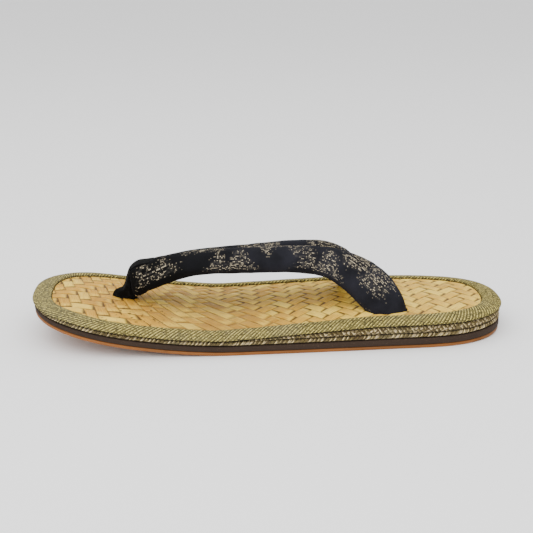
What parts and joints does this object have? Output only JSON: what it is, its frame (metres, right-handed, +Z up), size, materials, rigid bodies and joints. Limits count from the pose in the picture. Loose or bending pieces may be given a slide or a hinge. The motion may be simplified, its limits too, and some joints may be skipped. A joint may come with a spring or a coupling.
{
  "type": "zori sandal",
  "caption": "Flat sandal with a plaited straw top in a cloth binding, a layered wrapped sole and a padded V strap with a toe post that holds the foot.",
  "frame": {"origin": "centre of the overall box, on the ground that the flat of the sole stands on", "axes": "-Y points to the toe and +Y to the heel, +Z is up and X is across the sandal"},
  "size_m": [0.1, 0.27, 0.05],
  "materials": {
    "outsole_rubber": "satin tan crepe rubber",
    "midsole_rubber": "matte dark brown sponge rubber",
    "tweed_cloth": "olive and cream herringbone cloth",
    "plaited_straw": "semi-gloss plaited golden straw",
    "strap_cloth": "near-black cotton with cream resist-dyed patches",
    "post_cloth": "near-black cotton"
  },
  "bodies": {
    "root": {"outsole": "outsole_rubber", "midsole": "midsole_rubber", "lower_layer": "tweed_cloth", "heel_wedge": "tweed_cloth", "edge_binding": "tweed_cloth", "insole": "plaited_straw", "strap": "strap_cloth", "toe_post": "post_cloth"}
  },
  "joints": []
}
